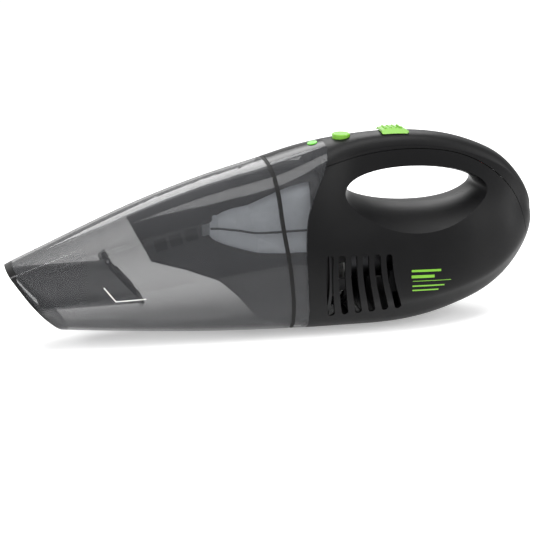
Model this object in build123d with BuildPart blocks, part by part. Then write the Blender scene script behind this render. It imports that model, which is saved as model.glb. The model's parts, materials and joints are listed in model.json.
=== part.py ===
from build123d import *
import math
import os
from bisect import bisect_right

os.makedirs("parts", exist_ok=True)

# Handheld vacuum. Nose towards -X, tail towards +X, the user's left hand side -Y, +Z up.
# It stands on its belly at z = 0.

# ---- driving dimensions, mm ----
WALL = 2.4  # moulded wall of the housing
CLEAR_WALL = 2.0  # wall of the see-through pieces
PLAY = 0.3  # room between pieces that move past each other
SEAM = 0.1  # room between covers that are fastened together
HALF_SPAN = 70  # anything cut right through in Y runs this far each way

# The body's lengthways curves, as heights and half widths at stations along X.
STATIONS = (-216, -170, -110, -60, -10, 20, 50, 80, 110, 140, 165, 190, 211.4)
TOP = (60, 80.5, 105, 121.5, 134.5, 142.5, 148.2, 150.8, 150.2, 145.6, 137, 128, 118)
BELLY = (18, 12.5, 6.5, 2.5, 0, -0.8, -0.8, -0.8, 1.8, 9, 18, 29, 38)
WAIST_Z = (34, 37, 45, 53, 58, 56, 50, 47, 47, 50, 54, 62, 70)  # height of the widest line
WAIST = (25, 32, 41, 47.5, 51.5, 52.5, 53, 52.5, 50.5, 46, 38.5, 31, 25)  # half width there
CROWN = (18, 23, 30, 36, 41, 37, 23, 17.5, 17, 17, 17, 16.5, 16)  # half width below the crown
CROWN_H = (9, 15, 24, 31, 34, 28, 18, 14.5, 14, 14, 14, 14, 14)  # height of the crown's curve
TAIL_START, TAIL_END, TAIL_Z = 165, 211.4, 78  # the tail closes to a point at TAIL_Z
LOFT_X = (-216, -185, -150, -115, -80, -45, -10, 12, 32, 52, 75, 100, 125, 147)
TAIL_STEPS = (0, 24, 44, 60, 72, 81, 87)  # degrees along the tail's quarter turn

# Parting lines, as (x, z)
RING_TOP, RING_FOOT = (-11.5, 135), (3.5, 0)  # bowl meets body
SEAL_T = 3  # thickness of the bowl seal along X
MOUTH = ((-211.5, 64), (-191.6, 36.2), (-166.5, 11))
FRONT_EDGE = ((38, 160), (33.5, 137), (17, 102), (12, 78), (12, 48), (16, 12), (18, -12))
COVER_EDGE = ((20, 131), (58, 136.5), (85, 139.4), (115, 139), (144, 133.5), (166, 123),
              (183, 109), (195, 92), (200.5, 74), (205, 60), (214, 52))

# Hand opening
GRIP_X, GRIP_Z, GRIP_A, GRIP_B, GRIP_TILT = 108.5, 108, 54, 15, 3
GRIP_FLARE, GRIP_FLARE_AT = 18.5, 46  # extra radius at this distance from the middle

# Fan and motor, on one axis along X
AXIS_Z = 52
SHAFT_R = 1.585
MOTOR_R, MOTOR_X0, MOTOR_X1 = 18.5, 52.4, 102
FAN_R, FAN_X0, FAN_X1 = 33, 37.5, 47
SHROUD_R, SHROUD_X0, SHROUD_X1 = 39, 32.4, 50

# Battery cells
CELL_R, CELL_L, CELL_PITCH = 11.25, 43, 22.7
CELL_X, CELL_Z = 110, 36

# Inlet duct inside the bowl, and its flap
DUCT_W, DUCT_Z0, DUCT_Z1, DUCT_WALL = 26, 29, 59, 1.8
DUCT_END_TOP, DUCT_END_FOOT = (-133.5, 59), (-109, 29)
FLAP_T, FLAP_PIN_R = 1.8, 1.0

# Filter cage, from its snout back to its mouth
CAGE_END = 24
CAGE_X = (-125, -75, -50, -38, -24, -5, CAGE_END)
CAGE_TOP = (89, 105, 112, 116, 124, 126, 126)
CAGE_FOOT = (70, 54.5, 45, 35, 19, 9, 6)
CAGE_HALF = (13, 16, 20, 28, 40, 45.5, 46.5)
CAGE_WALL, TUNNEL_AT = 1.8, -12
SNOUT_FRONT = ((-119, 98), (-97, 54))
WINDOWS = ((-94, 75.3), (-82.3, 78.6), (-70.6, 82.3), (-58.9, 86))
WINDOW = 9.4

# Top controls
BUTTON_X, BUTTON_R, BUTTON_TOP, BUTTON_STEM_R = 51.5, 7, 151, 4
BUTTON_TRAVEL = 3
SLIDER_X0, SLIDER_X1, SLIDER_W, SLIDER_TOP, SLIDER_TRAVEL = 81.5, 105, 19, 153.6, 6
LEG_X0, LEG_X1, LEG_HALF = 90, 96, 2.5  # the slider's leg through the cover
LED_X, LED_R = 28.5, 4
STRIP_HALF = 12.5
LATCH_HALF, CHANNEL_HALF, CHANNEL_Z = 5, 8, 115.5

# Charging socket at the tail
JACK_X, JACK_Z, JACK_R, JACK_BORE_R, JACK_DEPTH = 193.5, 45, 6, 2.75, 10

# Vents: six a side
VENT_COUNT, VENT_PITCH, VENT_W = 6, 9.5, 5.2
VENT_TOP, VENT_MID, VENT_FOOT = (29.5, 65.5), (28.7, 44), (32.4, 20.5)

# Housing screws, as (x, z)
SCREWS = ((62, 8.8), (104, 11.5), (168, 36), (181, 110), (136, 130.5), (38, 104))
BOSS_R, SCREW_R, SCREW_HEAD_R = 4.2, 1.35, 2.9

SIDE = Plane.XZ.offset(-HALF_SPAN)  # the far side of everything cut right through in Y
THROUGH = (0, -1, 0)
end_x, end_z = DUCT_END_FOOT[0] - DUCT_END_TOP[0], DUCT_END_FOOT[1] - DUCT_END_TOP[1]
END_L = math.hypot(end_x, end_z)
DOWN_END = (end_x / END_L, 0, end_z / END_L)  # down the duct's slanted end
OUT_OF_END = (-DOWN_END[2], 0, DOWN_END[0])


def YZ_AT(x):
    """The plane across the body at x, with Y to the right and Z up."""
    return Plane(origin=(x, 0, 0), x_dir=(0, 1, 0), z_dir=(1, 0, 0))


def save(piece, name):
    piece.part.label = name
    export_step(piece.part, f"parts/{name}.step")


# ---- shapes used more than once ----
def along(values, x, stations=STATIONS):
    """Height or half width at x, on the smooth curve through the values at the stations."""
    i = min(max(bisect_right(stations, x) - 1, 0), len(stations) - 2)

    def slope(k):
        a, b = max(k - 1, 0), min(k + 1, len(stations) - 1)
        return (values[b] - values[a]) / (stations[b] - stations[a])

    span = stations[i + 1] - stations[i]
    t = (x - stations[i]) / span
    return (
        (2 * t**3 - 3 * t**2 + 1) * values[i]
        + (t**3 - 2 * t**2 + t) * span * slope(i)
        + (3 * t**2 - 2 * t**3) * values[i + 1]
        + (t**3 - t**2) * span * slope(i + 1)
    )


def quarter(half, rise, power, angles):
    """Points of a rounded quarter, from the middle line out to the side."""
    points = []
    for angle in angles:
        c, s = math.cos(math.radians(angle)), math.sin(math.radians(angle))
        out = half * max(c, 0) ** (2 / power) if angle < 90 else 0
        points.append((out, rise * s ** (2 / power)))
    return points


def body_section(x, inset):
    """Closed outline of the body at x, as (y, z): crown, flank and belly, mirrored."""
    u = max(0, (x - TAIL_START) / (TAIL_END - TAIL_START))
    tall, wide = (1 - u**2.1) ** (1 / 2.1), (1 - u**2.3) ** (1 / 2.3)

    def height(values):
        return TAIL_Z + (along(values, x) - TAIL_Z) * tall

    shoulder = height(TOP) - along(CROWN_H, x) * tall
    waist_z = height(WAIST_Z)
    crown, waist = along(CROWN, x) * wide - inset, along(WAIST, x) * wide - inset
    right = [
        (y, shoulder + z)
        for y, z in quarter(crown, height(TOP) - inset - shoulder, 2.3, (90, 66, 42, 20))
    ]
    for t in (0, 0.33, 0.67):
        ease = t * t * (3 - 2 * t)
        right.append((crown + (waist - crown) * ease, shoulder + (waist_z - shoulder) * t))
    depth = waist_z - height(BELLY) - inset
    right += [(y, waist_z - z) for y, z in reversed(quarter(waist, depth, 2.5, (90, 68, 46, 24, 0)))]
    return right + [(-y, z) for y, z in right[-2:0:-1]]


def closed_curve(points, like):
    """A smooth closed curve; its points lie at the same parameters as those of the outline like."""
    loop = [*like, like[0]]
    steps = [math.dist(a, b) for a, b in zip(loop, loop[1:])]
    places = [sum(steps[:i]) / sum(steps) for i in range(len(loop))]
    return Edge.make_spline([Vector(*p) for p in points], parameters=places, periodic=True)


def body_solid(inset, stations, tip=None):
    """The whole body as one solid, drawn in from the outside by inset."""
    like = body_section(TUNNEL_AT, 0)
    slices = []
    for x in stations:
        with BuildSketch(YZ_AT(x)) as outline:
            with BuildLine():
                add(closed_curve(body_section(x, inset), like))
            make_face()
        slices.append(outline.sketch.faces()[0])
    if tip is not None:
        slices.append(Vertex(tip, 0, TAIL_Z))
    with BuildPart() as body:
        loft(sections=slices)
    return body.part


def ring_x(z, shift=0):
    """X of the bowl's parting plane at height z."""
    slant = (RING_FOOT[0] - RING_TOP[0]) / (RING_TOP[1] - RING_FOOT[1])
    return RING_TOP[0] + (RING_TOP[1] - z) * slant + shift


def polygon_slab(*corners):
    """A region of the side view, right through the body in Y."""
    with BuildPart() as slab:
        with BuildSketch(SIDE):
            with BuildLine():
                Polyline(*corners, close=True)
            make_face()
        extrude(amount=2 * HALF_SPAN, dir=THROUGH)
    return slab.part


def behind_mouth(shift):
    """Everything behind the bowl's mouth face, moved back by shift."""
    points = [(x + shift * 0.75, z + shift * 0.66) for x, z in MOUTH]
    with BuildPart() as region:
        with BuildSketch(SIDE):
            with BuildLine():
                arc = ThreePointArc(*points)
                Polyline(arc @ 1, (-130, -40), (30, -40), (30, 180), (-260, 180), arc @ 0)
            make_face()
        extrude(amount=2 * HALF_SPAN, dir=THROUGH)
    return region.part


def behind_edge(shift):
    """Everything behind the housing's front edge, moved back by shift."""
    with BuildPart() as region:
        with BuildSketch(SIDE):
            with BuildLine():
                edge = Spline(*[(x + shift, z) for x, z in FRONT_EDGE])
                Polyline(edge @ 1, (260, FRONT_EDGE[-1][1]), (260, FRONT_EDGE[0][1]), edge @ 0)
            make_face()
        extrude(amount=2 * HALF_SPAN, dir=THROUGH)
    return region.part


def above_cover_edge(shift):
    """Everything outside the groove that runs along the handle, moved in by shift."""
    with BuildPart() as region:
        with BuildSketch(SIDE):
            with BuildLine():
                edge = Spline(*[(x - shift * 0.5, z - shift) for x, z in COVER_EDGE])
                Polyline(edge @ 1, (260, COVER_EDGE[-1][1]), (260, 190), (0, 190), edge @ 0)
            make_face()
        extrude(amount=2 * HALF_SPAN, dir=THROUGH)
    return region.part


def hand_opening(grow):
    """The hand opening, an oval that flares towards both sides."""
    slices = []
    for y in (-64, -48, -32, -16, 0, 16, 32, 48, 64):
        flare = GRIP_FLARE * (y / GRIP_FLARE_AT) ** 2 + grow
        with BuildSketch(Plane.XZ.offset(-y)) as oval:
            with Locations((GRIP_X, GRIP_Z)):
                Ellipse(GRIP_A + flare, GRIP_B + flare, rotation=-GRIP_TILT)
        slices.append(oval.sketch.faces()[0])
    with BuildPart() as opening:
        loft(sections=slices)
    return opening.part


def disc(x0, x1, radius, z=AXIS_Z, y=0, hole=0):
    """A round piece along X."""
    with BuildPart() as piece:
        with BuildSketch(YZ_AT(x0)):
            with Locations((y, z)):
                Circle(radius)
                if hole:
                    Circle(hole, mode=Mode.SUBTRACT)
        extrude(amount=x1 - x0)
    return piece.part


def block(x0, x1, half_y, z0, z1):
    with BuildPart() as piece:
        with Locations(((x0 + x1) / 2, 0, (z0 + z1) / 2)):
            Box(x1 - x0, 2 * half_y, z1 - z0)
    return piece.part


def duct_bar(grow):
    """The inlet duct's rounded bar along X, grown on all four sides."""
    width, height = DUCT_W + 2 * grow, DUCT_Z1 - DUCT_Z0 + 2 * grow
    with BuildPart() as bar:
        with BuildSketch(YZ_AT(-216)):
            with Locations((0, (DUCT_Z0 + DUCT_Z1) / 2)):
                RectangleRounded(width, height, 3 + grow)
        extrude(amount=120)
    return bar.part


def cage_solid(inset):
    """The filter cage's form, from its side view and its plan, drawn in by inset."""
    crest = [(x, z - inset) for x, z in zip(CAGE_X, CAGE_TOP)]
    foot = [(x, z + inset) for x, z in zip(CAGE_X, CAGE_FOOT)]
    far_side = [(x, y - inset) for x, y in zip(CAGE_X, CAGE_HALF)]
    near_side = [(x, -y) for x, y in far_side]
    with BuildPart() as form:
        with BuildSketch(SIDE):
            with BuildLine():
                Polyline(*crest, *foot[::-1], close=True)
            make_face()
        extrude(amount=2 * HALF_SPAN, dir=THROUGH)
        with BuildSketch(Plane.XY.offset(-10)):
            with BuildLine():
                Polyline(*far_side, *near_side[::-1], close=True)
            make_face()
        extrude(amount=180, dir=(0, 0, 1), mode=Mode.INTERSECT)
    return form.part


def prism(inset, x0, x1):
    """The body's outline at the bowl's parting line, drawn in by inset, as a straight bar."""
    with BuildPart() as bar:
        with BuildSketch(YZ_AT(x0)):
            with BuildLine():
                Spline(*body_section(TUNNEL_AT, inset), periodic=True)
            make_face()
        extrude(amount=x1 - x0, dir=(1, 0, 0))
    return bar.part


def rod(x, z, radius, y0, y1):
    """A round piece along Y."""
    with BuildPart() as piece:
        with BuildSketch(Plane.XZ.offset(-y1)):
            with Locations((x, z)):
                Circle(radius)
        extrude(amount=y1 - y0)
    return piece.part


def disc_up(x, z0, z1, radius, y=0):
    """A round piece along Z."""
    with BuildPart() as piece:
        with BuildSketch(Plane.XY.offset(z0)):
            with Locations((x, y)):
                Circle(radius)
        extrude(amount=z1 - z0)
    return piece.part


def half_space(side):
    """Everything on one side of the middle plane, clear of the seam."""
    with BuildPart() as half:
        with Locations((0, side * (HALF_SPAN + SEAM / 2) / 2, 80)):
            Box(600, HALF_SPAN - SEAM / 2, 300)
    return half.part


def lead(route, radius=0.9):
    """An insulated wire along its route, with an arc at each corner."""
    path_points = [Vector(*p) for p in route]
    radii = []
    for before, here, after in zip(path_points, path_points[1:], path_points[2:]):
        turn = math.radians((here - before).get_angle(after - here))
        shorter = min((here - before).length, (after - here).length)
        radii.append(0.45 * shorter / math.tan(turn / 2))
    with BuildPart() as wire:
        with BuildLine() as path:
            FilletPolyline(*path_points, radius=radii)
        with BuildSketch(Plane(origin=path_points[0], z_dir=path_points[1] - path_points[0])):
            Circle(radius)
        sweep(path=path.wires()[0])
    return wire.part


def end_plane(out):
    """Plane along the duct's slanted end, moved out of the duct; its X runs down the end."""
    at = (DUCT_END_TOP[0] + OUT_OF_END[0] * out, 0, DUCT_END_TOP[1] + OUT_OF_END[2] * out)
    return Plane(origin=at, x_dir=DOWN_END, z_dir=OUT_OF_END)


def plate(plane, down0, down1, half_y, thickness, corner=0):
    """A flat piece on a plane, from down0 to down1 along its X."""
    with BuildPart() as piece:
        with BuildSketch(plane):
            with Locations(((down0 + down1) / 2, 0)):
                if corner:
                    RectangleRounded(down1 - down0, 2 * half_y, corner)
                else:
                    Rectangle(down1 - down0, 2 * half_y)
        extrude(amount=thickness)
    return piece.part


tail_x = [TAIL_START + (TAIL_END - TAIL_START) * math.sin(math.radians(a)) for a in TAIL_STEPS]
whole = body_solid(0, [*LOFT_X, *tail_x], TAIL_END)
clear_inside = body_solid(CLEAR_WALL, LOFT_X[:11])
inside = body_solid(WALL, [*LOFT_X, *tail_x[:-1]])
floor_cut = block(-260, 260, HALF_SPAN, -20, 0)

# ---- dust bowl ----
bowl_side = polygon_slab((-260, 200), (ring_x(200), 200), (ring_x(-20), -20), (-260, -20))
mouth_side, hollow_side = behind_mouth(0), behind_mouth(CLEAR_WALL)
duct_hole = duct_bar(SEAM)
with BuildPart() as bowl_hollow:
    add(clear_inside)
    add(hollow_side, mode=Mode.INTERSECT)
with BuildPart() as dust_bowl:
    add(whole)
    add(mouth_side, mode=Mode.INTERSECT)
    add(bowl_side, mode=Mode.INTERSECT)
    add(bowl_hollow.part, mode=Mode.SUBTRACT)
    add(duct_hole, mode=Mode.SUBTRACT)
    add(floor_cut, mode=Mode.SUBTRACT)
    with Locations((-29.7, 0, 127)):  # the rib that the latch holds
        Box(2.5, 2 * LATCH_HALF, 5)
save(dust_bowl, "dust_bowl")

# ---- inlet duct, flap and flap pin ----
PIN_DOWN, PIN_OUT, BARREL_R, BARREL_HALF, EAR_T = -4.4, 2.6, 2.2, 8, 3
EAR_Y0 = BARREL_HALF + PLAY
pin_x = DUCT_END_TOP[0] + DOWN_END[0] * PIN_DOWN + OUT_OF_END[0] * PIN_OUT
pin_z = DUCT_END_TOP[1] + DOWN_END[2] * PIN_DOWN + OUT_OF_END[2] * PIN_OUT
duct_body, duct_bore = duct_bar(0), duct_bar(-DUCT_WALL)
before_end = plate(end_plane(0), -90, 130, 60, -140)
end_flange = plate(end_plane(-1.6), -2, END_L + 1.6, 15, 1.6, 2)
ears = plate(end_plane(-1.6), -7, -1, EAR_Y0 + EAR_T, 6.6)
ear_gap = plate(end_plane(-0.01), -12, 0, EAR_Y0, 20)
pin_hole = rod(pin_x, pin_z, FLAP_PIN_R, -30, 30)
with BuildPart() as inlet_duct:
    add(duct_body)
    add(mouth_side, mode=Mode.INTERSECT)
    add(before_end, mode=Mode.INTERSECT)
    add(end_flange)
    add(ears)
    add(ear_gap, mode=Mode.SUBTRACT)
    add(duct_bore, mode=Mode.SUBTRACT)
    add(pin_hole, mode=Mode.SUBTRACT)
save(inlet_duct, "inlet_duct")

with BuildPart() as flap_pin:
    add(rod(pin_x, pin_z, FLAP_PIN_R, -EAR_Y0 - EAR_T, EAR_Y0 + EAR_T))
save(flap_pin, "flap_pin")

flap_sheet = plate(end_plane(PLAY), -0.5, END_L + 1, DUCT_W / 2, FLAP_T, 1.5)
flap_rib = plate(end_plane(PLAY), 9, 29, DUCT_W / 2 - 2, FLAP_T + 1.2, 2)
flap_web = plate(end_plane(PLAY), PIN_DOWN, 0, BARREL_HALF, FLAP_T)
barrel = rod(pin_x, pin_z, BARREL_R, -BARREL_HALF, BARREL_HALF)
barrel_bore = rod(pin_x, pin_z, FLAP_PIN_R + 0.04, -20, 20)
with BuildPart() as inlet_flap:
    add(flap_sheet)
    add(flap_rib)
    add(flap_web)
    add(barrel)
    add(barrel_bore, mode=Mode.SUBTRACT)
save(inlet_flap, "inlet_flap")

# ---- seal between the bowl and the body ----
seal_outer, seal_inner = body_solid(0.4, LOFT_X[5:11]), body_solid(3, LOFT_X[5:11])
seal_band = polygon_slab(
    (ring_x(200, SEAM), 200),
    (ring_x(200, SEAL_T - SEAM), 200),
    (ring_x(-20, SEAL_T - SEAM), -20),
    (ring_x(-20, SEAM), -20),
)
with BuildPart() as bowl_seal:
    add(seal_outer)
    add(seal_band, mode=Mode.INTERSECT)
    add(seal_inner, mode=Mode.SUBTRACT)
    add(floor_cut, mode=Mode.SUBTRACT)
save(bowl_seal, "bowl_seal")

# ---- front collar, top strip and charge light ----
collar_side = polygon_slab(
    (ring_x(200, SEAL_T), 200), (90, 200), (90, -20), (ring_x(-20, SEAL_T), -20)
)
behind_front = behind_edge(-SEAM)
strip_room = block(-60, 90, STRIP_HALF + SEAM, 90, 170)
strip_bar = block(-60, 90, STRIP_HALF, 90, 170)
with BuildPart() as front_ring:
    add(whole)
    add(collar_side, mode=Mode.INTERSECT)
    add(behind_front, mode=Mode.SUBTRACT)
with BuildPart() as front_collar:
    add(front_ring.part)
    add(clear_inside, mode=Mode.SUBTRACT)
    add(strip_room, mode=Mode.SUBTRACT)
    add(floor_cut, mode=Mode.SUBTRACT)
save(front_collar, "front_collar")

led_top = along(TOP, LED_X)
led_plane = Plane(origin=(LED_X, 0, led_top), x_dir=(0.98, 0, 0.19), z_dir=(-0.19, 0, 0.98))
with BuildPart() as led_lens:
    with BuildSketch(led_plane.offset(-5)):
        Circle(LED_R)
    extrude(amount=6)
    fillet(led_lens.faces().sort_by(Axis.Z)[-1].edges(), 0.8)
save(led_lens, "led_lens")
with BuildPart() as led_hole:
    with BuildSketch(led_plane.offset(-10)):
        Circle(LED_R + SEAM)
    extrude(amount=20)
with BuildPart() as top_strip:
    add(front_ring.part)
    add(strip_bar, mode=Mode.INTERSECT)
    add(inside, mode=Mode.SUBTRACT)
    add(led_hole.part, mode=Mode.SUBTRACT)
save(top_strip, "top_strip")
with BuildPart() as charge_led:
    with BuildSketch(led_plane.offset(-11)):
        Circle(2.5)
    extrude(amount=5.6)
    fillet(charge_led.faces().sort_by(Axis.Z)[-1].edges(), 2)
    with BuildSketch(led_plane.offset(-12)):
        Circle(3.1)
    extrude(amount=1)
save(charge_led, "charge_led")

# ---- housing halves and handle cover ----
behind_housing = behind_edge(0)
opening, opening_room = hand_opening(0), hand_opening(WALL)
mid_wall, mid_opening = body_solid(WALL / 2, [*LOFT_X, *tail_x[:-1]]), hand_opening(WALL / 2)
cover_region, cover_room = above_cover_edge(0), above_cover_edge(0.5)
button_hole = disc_up(BUTTON_X, 130, 170, BUTTON_R + PLAY)
slider_slot = block(LEG_X0 - SLIDER_TRAVEL - 0.4, LEG_X1 + 0.4, LEG_HALF + 0.6, 140, 170)
jack_pocket = disc(JACK_X, 230, JACK_R + 1, JACK_Z)
jack_hole = disc(JACK_X - 25, JACK_X + 1, JACK_R + SEAM, JACK_Z)
jack_boss = disc(JACK_X - 12, JACK_X + 9, JACK_R + 3.2, JACK_Z)
with BuildPart() as hollow:
    add(inside)
    add(opening_room, mode=Mode.SUBTRACT)
with BuildPart() as shell:
    add(whole)
    add(behind_housing, mode=Mode.INTERSECT)
    add(floor_cut, mode=Mode.SUBTRACT)
    add(opening, mode=Mode.SUBTRACT)
    add(hollow.part, mode=Mode.SUBTRACT)
screw_posts = [rod(x, z, BOSS_R, -60, 60) for x, z in SCREWS]
pilot_holes = [rod(x, z, SCREW_R, -14, 2) for x, z in SCREWS]
shank_holes = [rod(x, z, 1.7, -2, 9) for x, z in SCREWS]
head_holes = [rod(x, z, 3.3, 8, 70) for x, z in SCREWS]
with BuildPart() as posts:
    add(screw_posts)
    add(jack_boss)
    add(mid_wall, mode=Mode.INTERSECT)
    add(mid_opening, mode=Mode.SUBTRACT)
with BuildPart() as vents:
    with BuildSketch(SIDE):
        for i in range(VENT_COUNT):
            lean = 1.1 * i
            with BuildLine(mode=Mode.PRIVATE):
                bow = ThreePointArc(
                    (VENT_TOP[0] + VENT_PITCH * i, VENT_TOP[1] - 0.55 * i),
                    (VENT_MID[0] + VENT_PITCH * i + 0.4 * lean, VENT_MID[1]),
                    (VENT_FOOT[0] + VENT_PITCH * i + lean, VENT_FOOT[1] + 0.5 * i),
                )
            SlotArc(bow, VENT_W)
    extrude(amount=2 * HALF_SPAN, dir=THROUGH)


def housing_half(side):
    """One half of the housing, with its vents, its half of each post and of the socket's seat."""
    half = half_space(side)
    with BuildPart() as skin:
        add(shell.part)
        add(cover_room, mode=Mode.SUBTRACT)
        add(half, mode=Mode.INTERSECT)
        add(vents.part, mode=Mode.SUBTRACT)
    with BuildPart() as half_posts:
        add(posts.part)
        add(cover_room, mode=Mode.SUBTRACT)
        add(half, mode=Mode.INTERSECT)
    with BuildPart() as piece:
        add(skin.part)
        add(half_posts.part)
        add(jack_pocket, mode=Mode.SUBTRACT)
        add(jack_hole, mode=Mode.SUBTRACT)
    return piece.part


near_half, far_half = housing_half(-1), housing_half(1)
with BuildPart() as housing_left:
    add(near_half)
    add(pilot_holes, mode=Mode.SUBTRACT)
save(housing_left, "housing_left")
with BuildPart() as housing_right:
    add(far_half)
    add(shank_holes, mode=Mode.SUBTRACT)
    add(head_holes, mode=Mode.SUBTRACT)
save(housing_right, "housing_right")
with BuildPart() as handle_cover:
    add(shell.part)
    add(cover_region, mode=Mode.INTERSECT)
    add(button_hole, mode=Mode.SUBTRACT)
    add(slider_slot, mode=Mode.SUBTRACT)
save(handle_cover, "handle_cover")
shanks = [rod(x, z, SCREW_R, -12, 8) for x, z in SCREWS]
heads = [rod(x, z, SCREW_HEAD_R, 8, 10.2) for x, z in SCREWS]
sockets = [rod(x, z, 1.2, 9, 12) for x, z in SCREWS]
with BuildPart() as housing_screws:
    add(shanks)
    add(heads)
    add(sockets, mode=Mode.SUBTRACT)
save(housing_screws, "housing_screws")

# ---- filter: cage, screen, cloth, flange seal ----
leaf_top = ((-59, 87), (-50, 98.5), (-33, 107), (-10, 116), (18, 121.5))
leaf_foot = ((18, 70), (-5, 71), (-42, 73.5), (-55, 79), (-59, 87))
LEAF_RIB_Z = 86
CAGE_GAP = 3.2  # from the outside of the body to the cage
ahead_of_screen = polygon_slab((-64, 140), (-64, 0), (-160, 0), (-160, 140))
cloth_room = block(-56, CAGE_END - 1, 60, 0, 140)
front_x, front_z = SNOUT_FRONT[1][0] - SNOUT_FRONT[0][0], SNOUT_FRONT[1][1] - SNOUT_FRONT[0][1]


def behind_snout(shift):
    """Everything behind the snout's slanted front, moved back by shift."""
    (x0, z0), (x1, z1) = [(x + shift, z) for x, z in SNOUT_FRONT]
    high, low = (x0 - 2 * front_x, z0 - 2 * front_z), (x1 + 2 * front_x, z1 + 2 * front_z)
    return polygon_slab(high, low, (80, low[1]), (80, high[1]))


def latch_channel(grow):
    return block(-46, 60, CHANNEL_HALF + grow, CHANNEL_Z - grow, 170)


def cage_layer(inset):
    """The cage's form inset from its outside, kept off the body's wall and the latch's channel."""
    wall, tunnel = body_solid(CAGE_GAP + inset, LOFT_X[2:10]), prism(CAGE_GAP + 0.2 + inset, -140, 40)
    form = cage_solid(inset)
    snout, channel = behind_snout(inset), latch_channel(inset)
    with BuildPart() as layer:
        add(form)
        add(snout, mode=Mode.INTERSECT)
        add(tunnel, mode=Mode.INTERSECT)
        add(wall, mode=Mode.INTERSECT)
        add(channel, mode=Mode.SUBTRACT)
    return layer.part


cage_outside, cage_inside = cage_layer(0), cage_layer(CAGE_WALL)
flange_outline = prism(3.6, CAGE_END, CAGE_END + 3)
flange_hole = prism(9, CAGE_END - 4, CAGE_END + 8)
flange_top = block(0, 60, 60, 127, 170)
flange_notch = latch_channel(0.4)
with BuildPart() as leaf_cut:
    for side in (1, -1):
        with BuildSketch(Plane.XZ.offset(14 * side)):
            with BuildLine():
                crest = Spline(*leaf_top)
                foot = Spline(*leaf_foot)
                Line(crest @ 1, foot @ 0)
            make_face()
        extrude(amount=60, dir=(0, -side, 0))
with BuildPart() as windows:
    with BuildSketch(SIDE):
        with Locations(*[Location((x, z), 15) for x, z in WINDOWS]):
            RectangleRounded(WINDOW, WINDOW, 1)
        with Locations((-107, 79), (-53, 95.5)):
            Circle(2.2)
    extrude(amount=2 * HALF_SPAN, dir=THROUGH)
leaf_rib = block(-56, 19, 60, LEAF_RIB_Z, LEAF_RIB_Z + 1.2)
with BuildPart() as rib_band:
    add(cage_outside)
    add(cage_inside, mode=Mode.SUBTRACT)
    add(leaf_rib, mode=Mode.INTERSECT)
with BuildPart() as filter_cage:
    add(cage_outside)
    add(cage_inside, mode=Mode.SUBTRACT)
    add(leaf_cut.part, mode=Mode.SUBTRACT)
    add(windows.part, mode=Mode.SUBTRACT)
    add(rib_band.part)
save(filter_cage, "filter_cage")

SCREEN_T = 0.6
screen_outside = cage_layer(CAGE_WALL + SEAM)
screen_inside = cage_layer(CAGE_WALL + SEAM + SCREEN_T)
with BuildPart() as snout_screen:
    add(screen_outside)
    add(screen_inside, mode=Mode.SUBTRACT)
    add(ahead_of_screen, mode=Mode.INTERSECT)
save(snout_screen, "snout_screen")

CLOTH_IN = 3.6
cloth_layer = cage_layer(CLOTH_IN)
with BuildPart() as filter_cloth:
    add(cloth_layer)
    add(cloth_room, mode=Mode.INTERSECT)
save(filter_cloth, "filter_cloth")

flange_room, seal_room = body_solid(3.6, LOFT_X[6:10]), body_solid(4.6, LOFT_X[6:10])
with BuildPart() as filter_flange:
    add(flange_outline)
    add(flange_room, mode=Mode.INTERSECT)
    add(flange_top, mode=Mode.SUBTRACT)
    add(flange_hole, mode=Mode.SUBTRACT)
    add(flange_notch, mode=Mode.SUBTRACT)
save(filter_flange, "filter_flange")

seal_x0, seal_x1 = CAGE_END + 3, CAGE_END + 5.2
seal_outline, seal_hole = prism(4.6, seal_x0, seal_x1), prism(8, seal_x0 - 1, seal_x1 + 1)
seal_top, seal_notch = block(0, 60, 60, 126, 170), latch_channel(1.4)
with BuildPart() as seal_bore:
    add(seal_hole)
    add(body_solid(7.6, LOFT_X[6:10]), mode=Mode.INTERSECT)
with BuildPart() as filter_seal:
    add(seal_outline)
    add(seal_room, mode=Mode.INTERSECT)
    add(seal_top, mode=Mode.SUBTRACT)
    add(seal_bore.part, mode=Mode.SUBTRACT)
    add(seal_notch, mode=Mode.SUBTRACT)
save(filter_seal, "filter_seal")

# ---- bulkhead between the filter and the fan ----
BULK_X0, BULK_X1, INLET_R, GUARD_BAR = 29.3, 31.6, 16, 1.6
inside_close = body_solid(WALL + 0.5, LOFT_X[6:12])
bulk_slab, bulk_notch = block(BULK_X0, BULK_X1, HALF_SPAN, -5, 170), block(20, 40, 6.4, 117, 150)
inlet_hole = disc(20, 40, INLET_R)
guard_rings = [disc(BULK_X0, BULK_X1, r, hole=r - GUARD_BAR) for r in (5, 11)]
with BuildPart() as guard_bars:
    with BuildSketch(YZ_AT(BULK_X0)):
        with Locations(*[Location((0, AXIS_Z), angle) for angle in (0, 60, 120)]):
            Rectangle(2 * INLET_R + 1, GUARD_BAR)
    extrude(amount=BULK_X1 - BULK_X0)
with BuildPart() as filter_bulkhead:
    add(inside_close)
    add(bulk_slab, mode=Mode.INTERSECT)
    add(bulk_notch, mode=Mode.SUBTRACT)
    add(inlet_hole, mode=Mode.SUBTRACT)
    add(guard_bars.part)
    add(guard_rings)
save(filter_bulkhead, "filter_bulkhead")

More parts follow.
